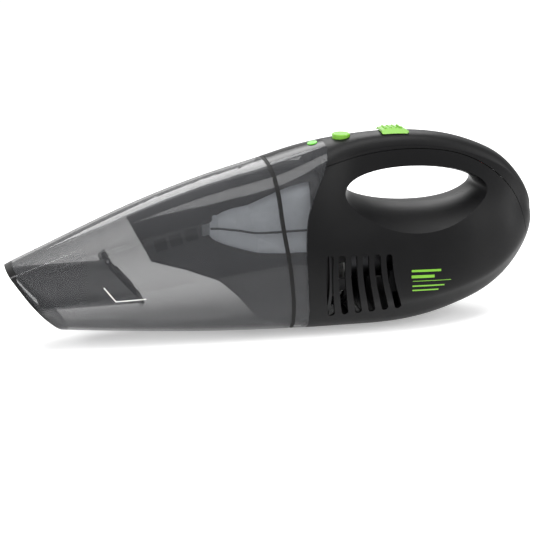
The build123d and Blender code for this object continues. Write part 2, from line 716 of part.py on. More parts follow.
# ---- fan ----
SHROUD_WALL, SHROUD_SLOTS = 1.8, 10
with BuildPart() as fan_shroud:
    with BuildSketch(YZ_AT(SHROUD_X0)):
        with Locations((0, AXIS_Z)):
            Circle(SHROUD_R)
            Circle(INLET_R, mode=Mode.SUBTRACT)
    extrude(amount=SHROUD_WALL)
    with BuildSketch(YZ_AT(SHROUD_X0)):
        with Locations((0, AXIS_Z)):
            Circle(SHROUD_R)
            Circle(SHROUD_R - SHROUD_WALL, mode=Mode.SUBTRACT)
    extrude(amount=SHROUD_X1 - SHROUD_X0)
    with BuildSketch(YZ_AT(SHROUD_X1 - SHROUD_WALL)):
        with Locations((0, AXIS_Z)):
            Circle(SHROUD_R)
            Circle(7, mode=Mode.SUBTRACT)
            with PolarLocations(11, 2):
                Circle(1.5, mode=Mode.SUBTRACT)
    extrude(amount=SHROUD_WALL)
    with BuildSketch(YZ_AT(SHROUD_X0 + 4)):
        with Locations((0, AXIS_Z)):
            with PolarLocations(SHROUD_R, SHROUD_SLOTS):
                Rectangle(8, 13)
    extrude(amount=SHROUD_X1 - SHROUD_X0 - 8, mode=Mode.SUBTRACT)
save(fan_shroud, "fan_shroud")

BLADES, BLADE_T, BACK_T, HUB_R = 9, 1.4, 1.6, 6
with BuildPart() as fan_impeller:
    with BuildSketch(YZ_AT(FAN_X1 - BACK_T)):
        with Locations((0, AXIS_Z)):
            Circle(FAN_R)
    extrude(amount=BACK_T)
    with BuildSketch(YZ_AT(FAN_X0)):
        with Locations((0, AXIS_Z)):
            Circle(HUB_R)
    extrude(amount=FAN_X1 - FAN_X0)
    with BuildSketch(YZ_AT(FAN_X0)):
        for turn in range(BLADES):
            with Locations(Location((0, AXIS_Z), turn * 360 / BLADES)):
                with BuildLine(mode=Mode.PRIVATE):
                    curve = ThreePointArc((HUB_R - 1, 0), (19, 5), (FAN_R - 1, 0))
                SlotArc(curve, BLADE_T)
    extrude(amount=FAN_X1 - FAN_X0)
    with BuildSketch(YZ_AT(FAN_X0)):
        with Locations((0, AXIS_Z)):
            Circle(SHAFT_R)
    extrude(amount=FAN_X1 - FAN_X0, mode=Mode.SUBTRACT)
save(fan_impeller, "fan_impeller")

# ---- motor ----
CAN_WALL, BUSH_R, BUSH_PLAY = 1.2, 4, 0.02
with BuildPart() as motor_can:
    with BuildSketch(YZ_AT(MOTOR_X0)):
        with Locations((0, AXIS_Z)):
            Circle(MOTOR_R)
    extrude(amount=MOTOR_X1 - MOTOR_X0)
    with BuildSketch(YZ_AT(MOTOR_X0 + CAN_WALL)):
        with Locations((0, AXIS_Z)):
            Circle(MOTOR_R - CAN_WALL)
    extrude(amount=MOTOR_X1, mode=Mode.SUBTRACT)
    with BuildSketch(YZ_AT(MOTOR_X0)):
        with Locations((0, AXIS_Z)):
            Circle(BUSH_R)
    extrude(amount=5, mode=Mode.SUBTRACT)
    with BuildSketch(SIDE):
        with Locations((MOTOR_X1 - 8, AXIS_Z)):
            SlotOverall(7, 4)
    extrude(amount=2 * HALF_SPAN, dir=THROUGH, mode=Mode.SUBTRACT)
save(motor_can, "motor_can")

for name, x0, length in (("front_bush", MOTOR_X0 - 1.6, 5), ("rear_bush", MOTOR_X1 - 2, 5)):
    with BuildPart() as bush:
        with BuildSketch(YZ_AT(x0)):
            with Locations((0, AXIS_Z)):
                Circle(BUSH_R)
                Circle(SHAFT_R + BUSH_PLAY, mode=Mode.SUBTRACT)
        extrude(amount=length)
    save(bush, name)

TERMINAL_Z = 11
with BuildPart() as motor_end_cap:
    with BuildSketch(YZ_AT(MOTOR_X1 - 4)):
        with Locations((0, AXIS_Z)):
            Circle(MOTOR_R - CAN_WALL)
    extrude(amount=4)
    with BuildSketch(YZ_AT(MOTOR_X1)):
        with Locations((0, AXIS_Z)):
            Circle(MOTOR_R)
    extrude(amount=1.6)
    with BuildSketch(YZ_AT(MOTOR_X1 + 1.6)):
        with Locations((0, AXIS_Z)):
            Circle(6.5)
    extrude(amount=2.4)
    with BuildSketch(YZ_AT(MOTOR_X1 - 4)):
        with Locations((0, AXIS_Z)):
            Circle(9)
    extrude(amount=2, mode=Mode.SUBTRACT)
    with BuildSketch(YZ_AT(MOTOR_X1 - 4)):
        with Locations((0, AXIS_Z)):
            Circle(BUSH_R)
    extrude(amount=7, mode=Mode.SUBTRACT)
    with BuildSketch(YZ_AT(MOTOR_X1 - 4)):
        with Locations((0, AXIS_Z)):
            Circle(SHAFT_R + 0.6)
    extrude(amount=10, mode=Mode.SUBTRACT)
    with BuildSketch(YZ_AT(MOTOR_X1 - 4)):
        with Locations((0, AXIS_Z + TERMINAL_Z), (0, AXIS_Z - TERMINAL_Z)):
            Rectangle(4.8, 0.8)
    extrude(amount=10, mode=Mode.SUBTRACT)
save(motor_end_cap, "motor_end_cap")

with BuildPart() as motor_terminals:
    with BuildSketch(YZ_AT(MOTOR_X1 - 3)):
        with Locations((0, AXIS_Z + TERMINAL_Z), (0, AXIS_Z - TERMINAL_Z)):
            Rectangle(4.8, 0.8)
    extrude(amount=8)
save(motor_terminals, "motor_terminals")

ARM_X0, ARM_X1, ARM_R, MAGNET_IN = 61, 89, 13, 13.6
with BuildPart() as motor_magnets:
    with BuildSketch(YZ_AT(ARM_X0 - 2)):
        with Locations((0, AXIS_Z)):
            Circle(MOTOR_R - CAN_WALL)
            Circle(MAGNET_IN, mode=Mode.SUBTRACT)
            Rectangle(2 * MOTOR_R, 14, mode=Mode.SUBTRACT)
    extrude(amount=ARM_X1 - ARM_X0 + 4)
save(motor_magnets, "motor_magnets")

with BuildPart() as motor_armature:
    with BuildSketch(YZ_AT(ARM_X0)):
        with Locations((0, AXIS_Z)):
            Circle(ARM_R)
            with PolarLocations(ARM_R - 3, 5):
                Rectangle(7.5, 2.4, mode=Mode.SUBTRACT)
                Circle(3, mode=Mode.SUBTRACT)
    extrude(amount=ARM_X1 - ARM_X0)
    with BuildSketch(YZ_AT(ARM_X1)):
        with Locations((0, AXIS_Z)):
            Circle(5)
    extrude(amount=8)
    with BuildSketch(YZ_AT(ARM_X0)):
        with Locations((0, AXIS_Z)):
            Circle(SHAFT_R)
    extrude(amount=60, mode=Mode.SUBTRACT)
save(motor_armature, "motor_armature")

with BuildPart() as motor_windings:
    with BuildSketch(YZ_AT(ARM_X0 + 1)):
        with Locations((0, AXIS_Z)):
            with PolarLocations(ARM_R - 3, 5):
                Circle(2.8)
    extrude(amount=ARM_X1 - ARM_X0 - 2)
save(motor_windings, "motor_windings")

with BuildPart() as motor_shaft:
    with BuildSketch(YZ_AT(FAN_X0 - 1)):
        with Locations((0, AXIS_Z)):
            Circle(SHAFT_R)
    extrude(amount=MOTOR_X1 + 2.4 - FAN_X0)
save(motor_shaft, "motor_shaft")

with BuildPart() as motor_screws:
    with BuildSketch(YZ_AT(SHROUD_X1 - SHROUD_WALL - 1)):
        with Locations((0, AXIS_Z)):
            with PolarLocations(11, 2):
                Circle(2.4)
    extrude(amount=1)
    with BuildSketch(YZ_AT(SHROUD_X1 - SHROUD_WALL)):
        with Locations((0, AXIS_Z)):
            with PolarLocations(11, 2):
                Circle(1.5)
    extrude(amount=MOTOR_X0 - SHROUD_X1 + SHROUD_WALL)
save(motor_screws, "motor_screws")

saddle_block = block(84, 96, 30, 0, AXIS_Z - 6)
saddle_bore = disc(80, 100, MOTOR_R)
saddle_gap = block(87, 93, 40, 8, AXIS_Z - MOTOR_R - 5)
with BuildPart() as motor_saddle:
    add(saddle_block)
    add(inside_close, mode=Mode.INTERSECT)
    add(saddle_bore, mode=Mode.SUBTRACT)
    add(saddle_gap, mode=Mode.SUBTRACT)
save(motor_saddle, "motor_saddle")

# ---- battery ----
NUB_R, NUB_H = 4, 1
cell_spots = [
    (CELL_PITCH * column, CELL_Z + CELL_PITCH * row) for column in (-1, 0, 1) for row in (0, 1)
]
with BuildPart() as battery_cells:
    with BuildSketch(YZ_AT(CELL_X)):
        with Locations(*cell_spots):
            Circle(CELL_R)
    extrude(amount=CELL_L)
    with BuildSketch(YZ_AT(CELL_X + CELL_L)):
        with Locations(*cell_spots):
            Circle(NUB_R)
    extrude(amount=NUB_H)
save(battery_cells, "battery_cells")

TAB_T, TAB_W, TAB_OVER = 0.3, 6, 4
upright_tabs = [(CELL_PITCH * column, CELL_Z + CELL_PITCH / 2) for column in (-1, 0, 1)]
level_tabs = [(-CELL_PITCH / 2, CELL_Z), (CELL_PITCH / 2, CELL_Z + CELL_PITCH)]
with BuildPart() as battery_tabs:
    with BuildSketch(YZ_AT(CELL_X - TAB_T)):
        with Locations(*upright_tabs):
            Rectangle(TAB_W, CELL_PITCH + 2 * TAB_OVER)
    extrude(amount=TAB_T)
    with BuildSketch(YZ_AT(CELL_X + CELL_L + NUB_H)):
        with Locations(*level_tabs):
            Rectangle(CELL_PITCH + 2 * TAB_OVER, TAB_W)
    extrude(amount=TAB_T)
save(battery_tabs, "battery_tabs")

CRADLE_IN, CRADLE_END = 2, 6  # in from the cells' ends, and the length of an end foot
cradle_x0, cradle_x1, cell_foot = CELL_X + CRADLE_IN, CELL_X + CELL_L - CRADLE_IN, CELL_Z - CELL_R
inside_tail = body_solid(WALL + SEAM, [*LOFT_X[9:], *tail_x[:3]])
cradle_block = block(cradle_x0, cradle_x1, 34, cell_foot - 4, CELL_Z - 2)
cradle_feet = block(cradle_x0, cradle_x1, 16, 0, cell_foot)
cradle_gap = block(cradle_x0 + CRADLE_END, cradle_x1 - CRADLE_END, HALF_SPAN, 0, cell_foot - 1.4)
cradle_bores = [disc(CELL_X - 5, CELL_X + CELL_L + 5, CELL_R, z, y) for y, z in cell_spots]
with BuildPart() as battery_cradle:
    add(cradle_block)
    add(cradle_feet)
    add(cradle_gap, mode=Mode.SUBTRACT)
    add(inside_tail, mode=Mode.INTERSECT)
    add(cradle_bores, mode=Mode.SUBTRACT)
save(battery_cradle, "battery_cradle")

# ---- charge board and slide switch, inside the handle ----
BOARD_X0, BOARD_X1, BOARD_Z, BOARD_T, BOARD_HALF = 70, 122, 131.5, 1.6, 10
SWITCH_X0, SWITCH_X1, SWITCH_H, SWITCH_SLOT, SLOT_DEEP = 79, 101, 5.2, 14, 1.5
LEVER_X0, LEVER_X1, LEVER_W = 90.5, 94.5, 2.6
board_top = BOARD_Z + BOARD_T
with BuildPart() as charge_board:
    with BuildSketch(Plane.XY.offset(BOARD_Z)):
        with Locations(((BOARD_X0 + BOARD_X1) / 2, 0)):
            RectangleRounded(BOARD_X1 - BOARD_X0, 2 * BOARD_HALF, 2)
    extrude(amount=BOARD_T)
    with BuildSketch(Plane.XY.offset(board_top)):
        with Locations((107, 4), (107, -4.5)):
            Circle(3)
        with Locations((74, 0)):
            Rectangle(5, 9)
        with Locations((118, 0)):
            Rectangle(5, 16)
    extrude(amount=5.6)
save(charge_board, "charge_board")

switch_top, slot_x = board_top + SWITCH_H, (SWITCH_X0 + SWITCH_X1) / 2 - 1.5
with BuildPart() as slide_switch:
    with Locations(((SWITCH_X0 + SWITCH_X1) / 2, 0, board_top + SWITCH_H / 2)):
        Box(SWITCH_X1 - SWITCH_X0, 12, SWITCH_H)
    fillet(slide_switch.edges().filter_by(Axis.Z), 1)
    with Locations((slot_x, 0, switch_top)):
        Box(SWITCH_SLOT, LEVER_W + 0.8, 2 * SLOT_DEEP, mode=Mode.SUBTRACT)
save(slide_switch, "slide_switch")

LEG_FOOT = 143
lever_foot = switch_top - SLOT_DEEP + PLAY
with BuildPart() as switch_lever:
    with Locations(((LEVER_X0 + LEVER_X1) / 2, 0, (lever_foot + LEG_FOOT) / 2)):
        Box(LEVER_X1 - LEVER_X0, LEVER_W, LEG_FOOT - lever_foot)
    fillet(switch_lever.edges().filter_by(Axis.Z), 0.6)
save(switch_lever, "switch_lever")

SLIDER_GAP, SLIDER_SLOPE, RIB_R, RIB_X = 0.6, 4.2, 0.9, (86.5, 90.5, 94.5, 98.5)
over_cover = body_solid(-SLIDER_GAP, LOFT_X[9:13])
slider_leg = block(LEG_X0, LEG_X1, LEG_HALF, LEG_FOOT, SLIDER_TOP - 1.6)
rib_width = block(80, 110, SLIDER_W / 2 - SLIDER_SLOPE, 140, 170)
with BuildPart() as slider_side:
    with BuildSketch(SIDE):
        with BuildLine():
            front = Line((SLIDER_X0, LEG_FOOT), (SLIDER_X0 + 1.2, SLIDER_TOP - 0.6))
            crest = ThreePointArc(
                front @ 1, (SLIDER_X0 + 10, SLIDER_TOP + 0.3), (SLIDER_X1 - 4, SLIDER_TOP - 0.9)
            )
            tail = ThreePointArc(
                crest @ 1, (SLIDER_X1 - 0.9, SLIDER_TOP - 2.2), (SLIDER_X1, SLIDER_TOP - 5)
            )
            Polyline(tail @ 1, (SLIDER_X1, LEG_FOOT), front @ 0)
        make_face()
    extrude(amount=2 * HALF_SPAN, dir=THROUGH)
with BuildPart() as slider_plan:
    with BuildSketch(Plane.XY.offset(140)):
        with Locations(((SLIDER_X0 + SLIDER_X1) / 2, 0)):
            RectangleRounded(SLIDER_X1 - SLIDER_X0, SLIDER_W, 4)
    extrude(amount=20)
with BuildPart() as slider_ends:
    with BuildSketch(YZ_AT(SLIDER_X0)):
        with BuildLine():
            base, top = SLIDER_W / 2, SLIDER_W / 2 - SLIDER_SLOPE
            Polyline((top, 160), (top, SLIDER_TOP + 0.2), (base, 149.6), (base, 140), (-base, 140))
            Polyline((-base, 140), (-base, 149.6), (-top, SLIDER_TOP + 0.2), (-top, 160), (top, 160))
        make_face()
    extrude(amount=SLIDER_X1 - SLIDER_X0, dir=(1, 0, 0))
with BuildPart() as rib_bars:
    with BuildSketch(SIDE):
        with Locations(*[(x, SLIDER_TOP + 0.1) for x in RIB_X]):
            Circle(RIB_R)
    extrude(amount=2 * HALF_SPAN, dir=THROUGH)
    add(rib_width, mode=Mode.INTERSECT)
with BuildPart() as power_slider:
    add(slider_side.part)
    add(slider_plan.part, mode=Mode.INTERSECT)
    add(slider_ends.part, mode=Mode.INTERSECT)
    add(rib_bars.part)
    add(over_cover, mode=Mode.SUBTRACT)
    add(slider_leg)
save(power_slider, "power_slider")

# ---- release button, latch and spring ----
CAP_Z, CAP_RIM, CAP_RIM_T = 141, 1.1, 1.6
STEM_FOOT, ARM_T, SPRING_FOOT, SPRING_R, SPRING_WIRE, SPRING_TURNS = 130.2, 4, 116.2, 3.1, 0.5, 5
with BuildPart() as release_button:
    with BuildSketch(Plane.XY.offset(CAP_Z)):
        with Locations((BUTTON_X, 0)):
            Circle(BUTTON_R)
    extrude(amount=BUTTON_TOP - CAP_Z)
    fillet(release_button.faces().sort_by(Axis.Z)[-1].edges(), 1)
    with BuildSketch(Plane.XY.offset(CAP_Z)):
        with Locations((BUTTON_X, 0)):
            Circle(BUTTON_R + CAP_RIM)
    extrude(amount=CAP_RIM_T)
    with BuildSketch(Plane.XY.offset(STEM_FOOT)):
        with Locations((BUTTON_X, 0)):
            Circle(BUTTON_STEM_R)
    extrude(amount=CAP_Z - STEM_FOOT + 1)
save(release_button, "release_button")

arm_foot = STEM_FOOT - ARM_T
with BuildPart() as latch_arm:
    with BuildSketch(Plane.XZ.offset(-LATCH_HALF)):
        with BuildLine():
            Polyline(
                (BUTTON_X + 5, arm_foot),
                (BUTTON_X + 5, STEM_FOOT),
                (44, STEM_FOOT),
                (-20, 124),
                (-34, 124),
                (-37, 121),
                (-34, 120.2),
                (-20, 120.2),
                (44, arm_foot),
                close=True,
            )
        make_face()
    extrude(amount=2 * LATCH_HALF, dir=THROUGH)
save(latch_arm, "latch_arm")

spring_rise = arm_foot - SPRING_FOOT - 2 * SPRING_WIRE
with BuildPart() as button_spring:
    with BuildLine() as coil:
        Helix(
            spring_rise / SPRING_TURNS,
            spring_rise,
            SPRING_R,
            center=(BUTTON_X, 0, SPRING_FOOT + SPRING_WIRE),
        )
    with BuildSketch(Plane(origin=coil.line @ 0, z_dir=coil.line % 0)):
        Circle(SPRING_WIRE)
    sweep(path=coil.wires()[0])
save(button_spring, "button_spring")

SEAT_T, WIRE_X, WIRE_Y = 1.5, 47, 11
seat_plate = block(44.2, 57.5, 34, SPRING_FOOT - SEAT_T - SEAM, SPRING_FOOT - SEAM)
seat_opening = hand_opening(WALL + SEAM)
wire_holes = [disc_up(WIRE_X, 100, 130, 1.5, y) for y in (-WIRE_Y, WIRE_Y)]
with BuildPart() as spring_seat:
    add(seat_plate)
    add(inside_close, mode=Mode.INTERSECT)
    add(seat_opening, mode=Mode.SUBTRACT)
    add(wire_holes, mode=Mode.SUBTRACT)
save(spring_seat, "spring_seat")

# ---- charging socket ----
JACK_L, PIN_R = 14, 1
with BuildPart() as dc_jack:
    with BuildSketch(YZ_AT(JACK_X - JACK_L)):
        with Locations((0, JACK_Z)):
            Circle(JACK_R)
    extrude(amount=JACK_L)
    with BuildSketch(YZ_AT(JACK_X - JACK_DEPTH)):
        with Locations((0, JACK_Z)):
            Circle(JACK_BORE_R)
    extrude(amount=JACK_DEPTH, mode=Mode.SUBTRACT)
save(dc_jack, "dc_jack")
with BuildPart() as jack_pin:
    with BuildSketch(YZ_AT(JACK_X - JACK_DEPTH)):
        with Locations((0, JACK_Z)):
            Circle(PIN_R)
    extrude(amount=JACK_DEPTH - 1)
    fillet(jack_pin.faces().sort_by(Axis.X)[-1].edges(), 0.5)
save(jack_pin, "jack_pin")

# ---- leads, in pairs ----
lead_x = MOTOR_X1 + 6.1
back_x, board_end = CELL_X + CELL_L + NUB_H + TAB_T + 1.1, 120.7
motor_routes = [
    [(lead_x, 0, foot), (lead_x, side * 3.5, foot + 7), (lead_x, side * 3.6, 77), (96, side * 7, 80),
     (62, side * 9, 81), (50, side * WIRE_Y, 98), (WIRE_X, side * WIRE_Y, 108),
     (WIRE_X, side * WIRE_Y, 121), (57, side * 8, 131), (64, side * 3, 136), (71.3, side * 3, 136)]
    for side, foot in ((1, AXIS_Z + TERMINAL_Z), (-1, AXIS_Z - TERMINAL_Z))
]
battery_routes = [
    [(back_x, y, 58.7), (back_x, y, 76), (168, 0.8 * y, 90), (171, side * 8, 102),
     (171, side * 8, 117), (152, side * 6, 137), (board_end, side * 6, 137)]
    for side, y in ((1, CELL_PITCH / 2), (-1, -CELL_PITCH / 2))
]
jack_routes = [
    [(JACK_X - JACK_L - 0.6, 2.4 * side, JACK_Z), (173, 2.4 * side, 49), (173, 2.4 * side, 117),
     (152, 2.2 * side, 137.2), (board_end, 2.2 * side, 137.2)]
    for side in (1, -1)
]
for name, routes in (
    ("motor_leads", motor_routes),
    ("battery_leads", battery_routes),
    ("jack_leads", jack_routes),
):
    pair = [lead(route) for route in routes]
    with BuildPart() as leads:
        add(pair)
    save(leads, name)
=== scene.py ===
import json
import math

import bmesh
import bpy
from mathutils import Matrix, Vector
from mathutils.bvhtree import BVHTree


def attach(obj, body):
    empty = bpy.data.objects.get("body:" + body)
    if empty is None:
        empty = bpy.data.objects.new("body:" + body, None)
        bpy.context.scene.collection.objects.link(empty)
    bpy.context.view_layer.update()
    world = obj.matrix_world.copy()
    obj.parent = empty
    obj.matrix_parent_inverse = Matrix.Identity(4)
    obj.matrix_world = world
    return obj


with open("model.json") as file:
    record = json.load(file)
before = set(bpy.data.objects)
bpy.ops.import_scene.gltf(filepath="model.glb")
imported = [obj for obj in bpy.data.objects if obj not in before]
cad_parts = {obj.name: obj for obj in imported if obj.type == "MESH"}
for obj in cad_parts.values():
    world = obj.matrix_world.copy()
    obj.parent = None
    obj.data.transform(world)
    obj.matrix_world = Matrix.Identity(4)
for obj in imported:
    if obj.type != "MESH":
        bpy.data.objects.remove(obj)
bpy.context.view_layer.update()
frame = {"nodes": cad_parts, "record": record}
nodes = frame["nodes"]
MM = 0.001

# ---- camera, floor and light ----
LOOK_AT = Vector((-5, 0, 44)) * MM
AZIMUTH, ELEVATION = -14, 18  # degrees
DISTANCE = 1.18  # metres
LENS, SENSOR = 100, 36  # mm
WORLD_STRENGTH = 0.72
PAPER_WHITE = (1, 1, 1, 1)


def direction(azimuth, elevation):
    """Unit vector from the object towards a viewer; azimuth 0 is in front of the near side."""
    a, e = math.radians(azimuth), math.radians(elevation)
    return Vector((math.sin(a) * math.cos(e), -math.cos(a) * math.cos(e), math.sin(e)))


def aim(obj, target):
    obj.rotation_euler = (target - obj.location).to_track_quat("-Z", "Y").to_euler()


camera_data = bpy.data.cameras.new("camera")
camera_data.lens = LENS
camera_data.sensor_width = SENSOR
camera = bpy.data.objects.new("camera", camera_data)
camera.location = LOOK_AT + direction(AZIMUTH, ELEVATION) * DISTANCE
aim(camera, LOOK_AT)
bpy.context.scene.collection.objects.link(camera)
bpy.context.scene.camera = camera


def softbox(name, azimuth, elevation, distance, width, height, power):
    """A rectangular light that points at the object; metres and watts."""
    data = bpy.data.lights.new(name, "AREA")
    data.shape = "RECTANGLE"
    data.size = width
    data.size_y = height
    data.energy = power
    light = bpy.data.objects.new(name, data)
    light.location = LOOK_AT + direction(azimuth, elevation) * distance
    aim(light, LOOK_AT)
    bpy.context.scene.collection.objects.link(light)


softbox("top_light", 20, 78, 1.3, 1.2, 0.7, 16)
softbox("left_light", -62, 28, 1.4, 0.5, 1.1, 9)
softbox("right_light", 68, 22, 1.5, 0.35, 1.1, 8)
softbox("back_light", 175, 38, 1.5, 1.3, 0.5, 12)

world = bpy.data.worlds.new("studio")
world.use_nodes = True
sky = world.node_tree.nodes["Background"]
sky.inputs["Color"].default_value = PAPER_WHITE
sky.inputs["Strength"].default_value = WORLD_STRENGTH
bpy.context.scene.world = world
bpy.context.scene.view_settings.view_transform = "Standard"


# ---- materials ----
class Nodes:
    """A small helper that adds shader nodes to one material."""

    def __init__(self, name):
        self.material = bpy.data.materials.new(name)
        self.material.use_nodes = True
        self.tree = self.material.node_tree
        self.shader = self.tree.nodes["Principled BSDF"]
        self.coordinates = self.tree.nodes.new("ShaderNodeTexCoord").outputs["Object"]

    def set(self, **sockets):
        """Sets constants on the shader's own sockets, such as specular_ior_level=0.3."""
        for name, value in sockets.items():
            label = name.replace("_", " ").title().replace("Ior", "IOR")
            self.shader.inputs[label].default_value = value
        return self

    def noise(self, scale, detail=3, stretch=(1, 1, 1)):
        mapping = self.tree.nodes.new("ShaderNodeMapping")
        mapping.inputs["Scale"].default_value = stretch
        texture = self.tree.nodes.new("ShaderNodeTexNoise")
        texture.inputs["Scale"].default_value = scale
        texture.inputs["Detail"].default_value = detail
        self.tree.links.new(self.coordinates, mapping.inputs["Vector"])
        self.tree.links.new(mapping.outputs["Vector"], texture.inputs["Vector"])
        return texture.outputs["Fac"]

    def spread(self, value, low, high, socket):
        """Maps a 0 to 1 value to the range low to high on the shader's socket."""
        node = self.tree.nodes.new("ShaderNodeMapRange")
        node.inputs["To Min"].default_value = low
        node.inputs["To Max"].default_value = high
        self.tree.links.new(value, node.inputs["Value"])
        self.tree.links.new(node.outputs["Result"], self.shader.inputs[socket])
        return self

    def tint(self, value, dark, light):
        """Colour that wanders between dark and light."""
        ramp = self.tree.nodes.new("ShaderNodeValToRGB")
        ramp.color_ramp.elements[0].position = 0.3
        ramp.color_ramp.elements[1].position = 0.7
        ramp.color_ramp.elements[0].color = (*dark, 1)
        ramp.color_ramp.elements[1].color = (*light, 1)
        self.tree.links.new(value, ramp.inputs["Fac"])
        self.tree.links.new(ramp.outputs["Color"], self.shader.inputs["Base Color"])
        return self

    def bump(self, value, strength, distance):
        node = self.tree.nodes.new("ShaderNodeBump")
        node.inputs["Strength"].default_value = strength
        node.inputs["Distance"].default_value = distance
        self.tree.links.new(value, node.inputs["Height"])
        self.tree.links.new(node.outputs["Normal"], self.shader.inputs["Normal"])
        return self


def shaded(colour, factor):
    return tuple(c * factor for c in colour)


def moulded(name, colour, rough, grain=0.12, coat=0.0, specular=0.5):
    """Moulded plastic: fine spark-eroded grain, slight drift in colour and gloss."""
    m = Nodes(name).set(coat_weight=coat, coat_roughness=0.15, specular_ior_level=specular)
    m.tint(m.noise(35), shaded(colour, 0.86), shaded(colour, 1.1))
    m.spread(m.noise(70), rough * 0.88, rough * 1.12, "Roughness")
    m.bump(m.noise(2600, 2), grain, 0.00004)
    return m.material


def metal(name, colour, rough, stretch=(1, 1, 1), scale=900):
    """Drawn or turned metal, with its fine marks along the direction with the least stretch."""
    m = Nodes(name).set(metallic=1.0)
    m.tint(m.noise(60), shaded(colour, 0.82), colour)
    m.spread(m.noise(scale, 2, stretch), rough * 0.75, rough * 1.3, "Roughness")
    m.bump(m.noise(scale, 2, stretch), 0.15, 0.00003)
    return m.material


def tinted_clear(name, colour, face_alpha, edge_alpha, rough, specular=0.5):
    """See-through plastic: thin face on, denser where the wall is seen on edge."""
    m = Nodes(name).set(roughness=rough, specular_ior_level=specular)
    m.tint(m.noise(22), shaded(colour, 0.9), shaded(colour, 1.1))
    weight = m.tree.nodes.new("ShaderNodeLayerWeight")
    weight.inputs["Blend"].default_value = 0.32
    m.spread(weight.outputs["Facing"], face_alpha, edge_alpha, "Alpha")
    m.bump(m.noise(45, 2), 0.06, 0.0004)
    return m.material


def paint_mouth_edge_shade(material):
    """Paints shade on a clear material: a black, opaque band along the mouth's edge, wider towards
    its top corner, in place of the dark line that refraction gives at the cut edge.
    """
    tree = material.node_tree
    shader = tree.nodes["Principled BSDF"]
    place = tree.nodes.new("ShaderNodeTexCoord").outputs["Object"]

    def math_node(operation, first, second):
        node = tree.nodes.new("ShaderNodeMath")
        node.operation = operation
        for value, socket in ((first, node.inputs[0]), (second, node.inputs[1])):
            if isinstance(value, float):
                socket.default_value = value
            else:
                tree.links.new(value, socket)
        return node.outputs[0]

    depths = []
    for (x0, z0), (x1, z1) in zip(MOUTH, MOUTH[1:]):
        across = Vector((z0 - z1, 0, x1 - x0)).normalized()
        along = tree.nodes.new("ShaderNodeVectorMath")
        along.operation = "DOT_PRODUCT"
        along.inputs[1].default_value = across
        tree.links.new(place, along.inputs[0])
        start = across.dot(Vector((x0, 0, z0)) * MM)
        depths.append(math_node("SUBTRACT", along.outputs["Value"], start))
    split = tree.nodes.new("ShaderNodeSeparateXYZ")
    tree.links.new(place, split.inputs[0])
    width = tree.nodes.new("ShaderNodeMapRange")
    for socket, value in zip(width.inputs[1:5], MOUTH_SHADE_WIDTHS):
        socket.default_value = value
    tree.links.new(split.outputs["Z"], width.inputs["Value"])
    # painted shade: points near the mouth's edge turn black and opaque
    mouth_shade_mask = math_node("LESS_THAN", math_node("MINIMUM", *depths), width.outputs["Result"])
    shade_mix = tree.nodes.new("ShaderNodeMix")
    shade_mix.data_type = "RGBA"
    shade_mix.inputs[7].default_value = MOUTH_SHADE_BLACK
    tree.links.new(mouth_shade_mask, shade_mix.inputs[0])
    tree.links.new(shader.inputs["Base Color"].links[0].from_socket, shade_mix.inputs[6])
    tree.links.new(shade_mix.outputs[2], shader.inputs["Base Color"])
    alpha = shader.inputs["Alpha"].links[0].from_socket
    tree.links.new(math_node("MAXIMUM", alpha, mouth_shade_mask), shader.inputs["Alpha"])
    return material


def cloth(name, colour):
    """Filter cloth: felted fibre, with a small emission that is painted light, brightening the
    cloth that the clear walls around it shade.
    """
    # painted light: the emission lifts the cloth that sits in the shade of the clear bowl
    m = Nodes(name).set(roughness=0.92, sheen_weight=0.25, emission_strength=0.14)
    m.shader.inputs["Emission Color"].default_value = (*colour, 1)
    m.tint(m.noise(160, 3), shaded(colour, 0.88), colour)
    m.bump(m.noise(700, 3), 0.25, 0.0002)
    return m.material


def woven_screen(name, colour):
    """Fine wire screen: crossed waves, open between the wires."""
    m = Nodes(name).set(metallic=0.7, roughness=0.45)
    m.tint(m.noise(300), shaded(colour, 0.7), colour)
    waves = []
    for way in ("X", "Z"):
        wave = m.tree.nodes.new("ShaderNodeTexWave")
        wave.bands_direction = way
        wave.inputs["Scale"].default_value = 420
        m.tree.links.new(m.coordinates, wave.inputs["Vector"])
        waves.append(wave.outputs["Fac"])
    top = m.tree.nodes.new("ShaderNodeMath")
    top.operation = "MAXIMUM"
    m.tree.links.new(waves[0], top.inputs[0])
    m.tree.links.new(waves[1], top.inputs[1])
    m.spread(top.outputs[0], 0.25, 1.0, "Alpha")
    return m.material


def glowing(name, colour, strength):
    """A lamp behind a glossy window."""
    m = Nodes(name).set(roughness=0.2, emission_strength=strength, coat_weight=0.6)
    m.tint(m.noise(120), shaded(colour, 0.8), colour)
    m.shader.inputs["Emission Color"].default_value = (*colour, 1)
    return m.material


# the mouth's edge from the side, as (x, z) in mm
MOUTH = ((-211.5, 64), (-191.6, 36.2), (-166.5, 11))
